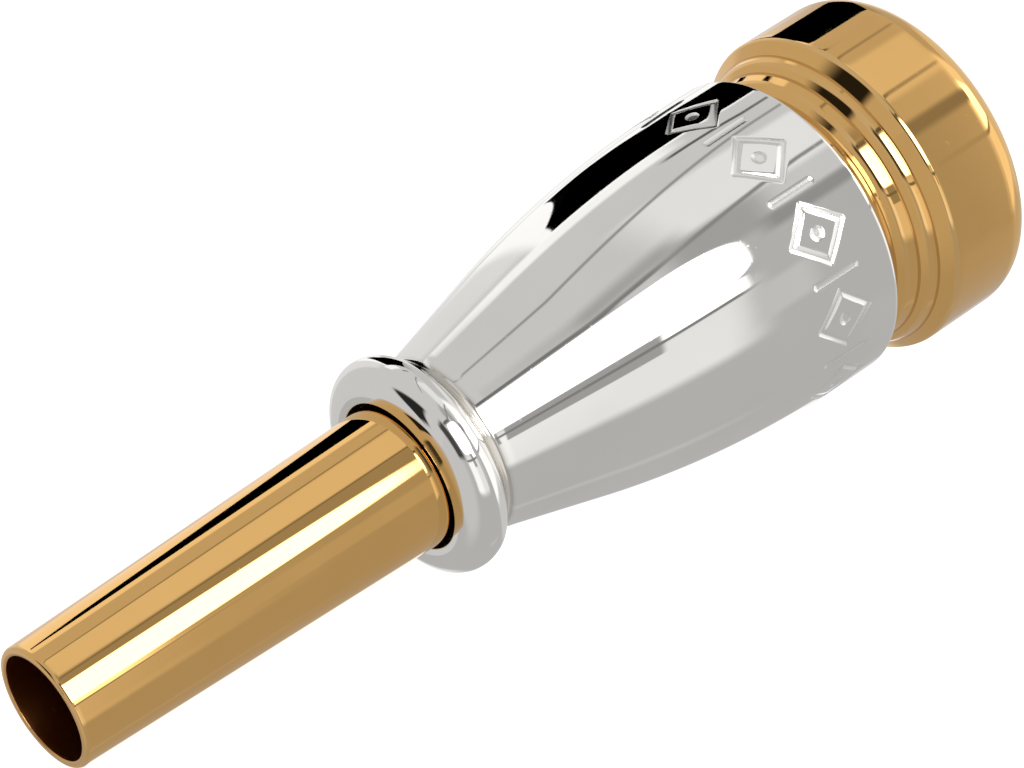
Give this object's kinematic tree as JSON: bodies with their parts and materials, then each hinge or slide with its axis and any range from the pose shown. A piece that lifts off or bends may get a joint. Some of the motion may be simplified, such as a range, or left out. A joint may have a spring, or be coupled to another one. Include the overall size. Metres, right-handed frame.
{
  "type": "trumpet mouthpiece with booster sleeve",
  "caption": "Turned trumpet mouthpiece with a tapered shank, carrying a slip-on booster sleeve held by hidden rubber rings.",
  "frame": {"origin": "centre of the playing rim's crest plane, where the part stands rim down", "axes": "+Z along the instrument axis from the rim to the shank end; X and Y are free, because every piece is turned about Z"},
  "size_m": [0.027, 0.027, 0.0855],
  "materials": {
    "gold_plate": "polished gold plate on brass",
    "silver_plate": "polished silver plate on brass",
    "black_rubber": "matte moulded rubber"
  },
  "bodies": {
    "mouthpiece": {"mouthpiece_body": "gold_plate"},
    "ring_carrier": {"lower_o_ring": "black_rubber", "upper_o_ring": "black_rubber"},
    "sleeve": {"booster_sleeve": "silver_plate"}
  },
  "joints": [
    {"name": "sleeve_slide", "type": "slide", "parent": "mouthpiece", "child": "ring_carrier", "axis": [0, 0, 1], "range_m": [0, 0.075]},
    {"name": "sleeve_turn", "type": "hinge", "parent": "ring_carrier", "child": "sleeve", "pos_m": [0, 0, 0.0335], "axis": [0, 0, 1], "continuous": true}
  ]
}
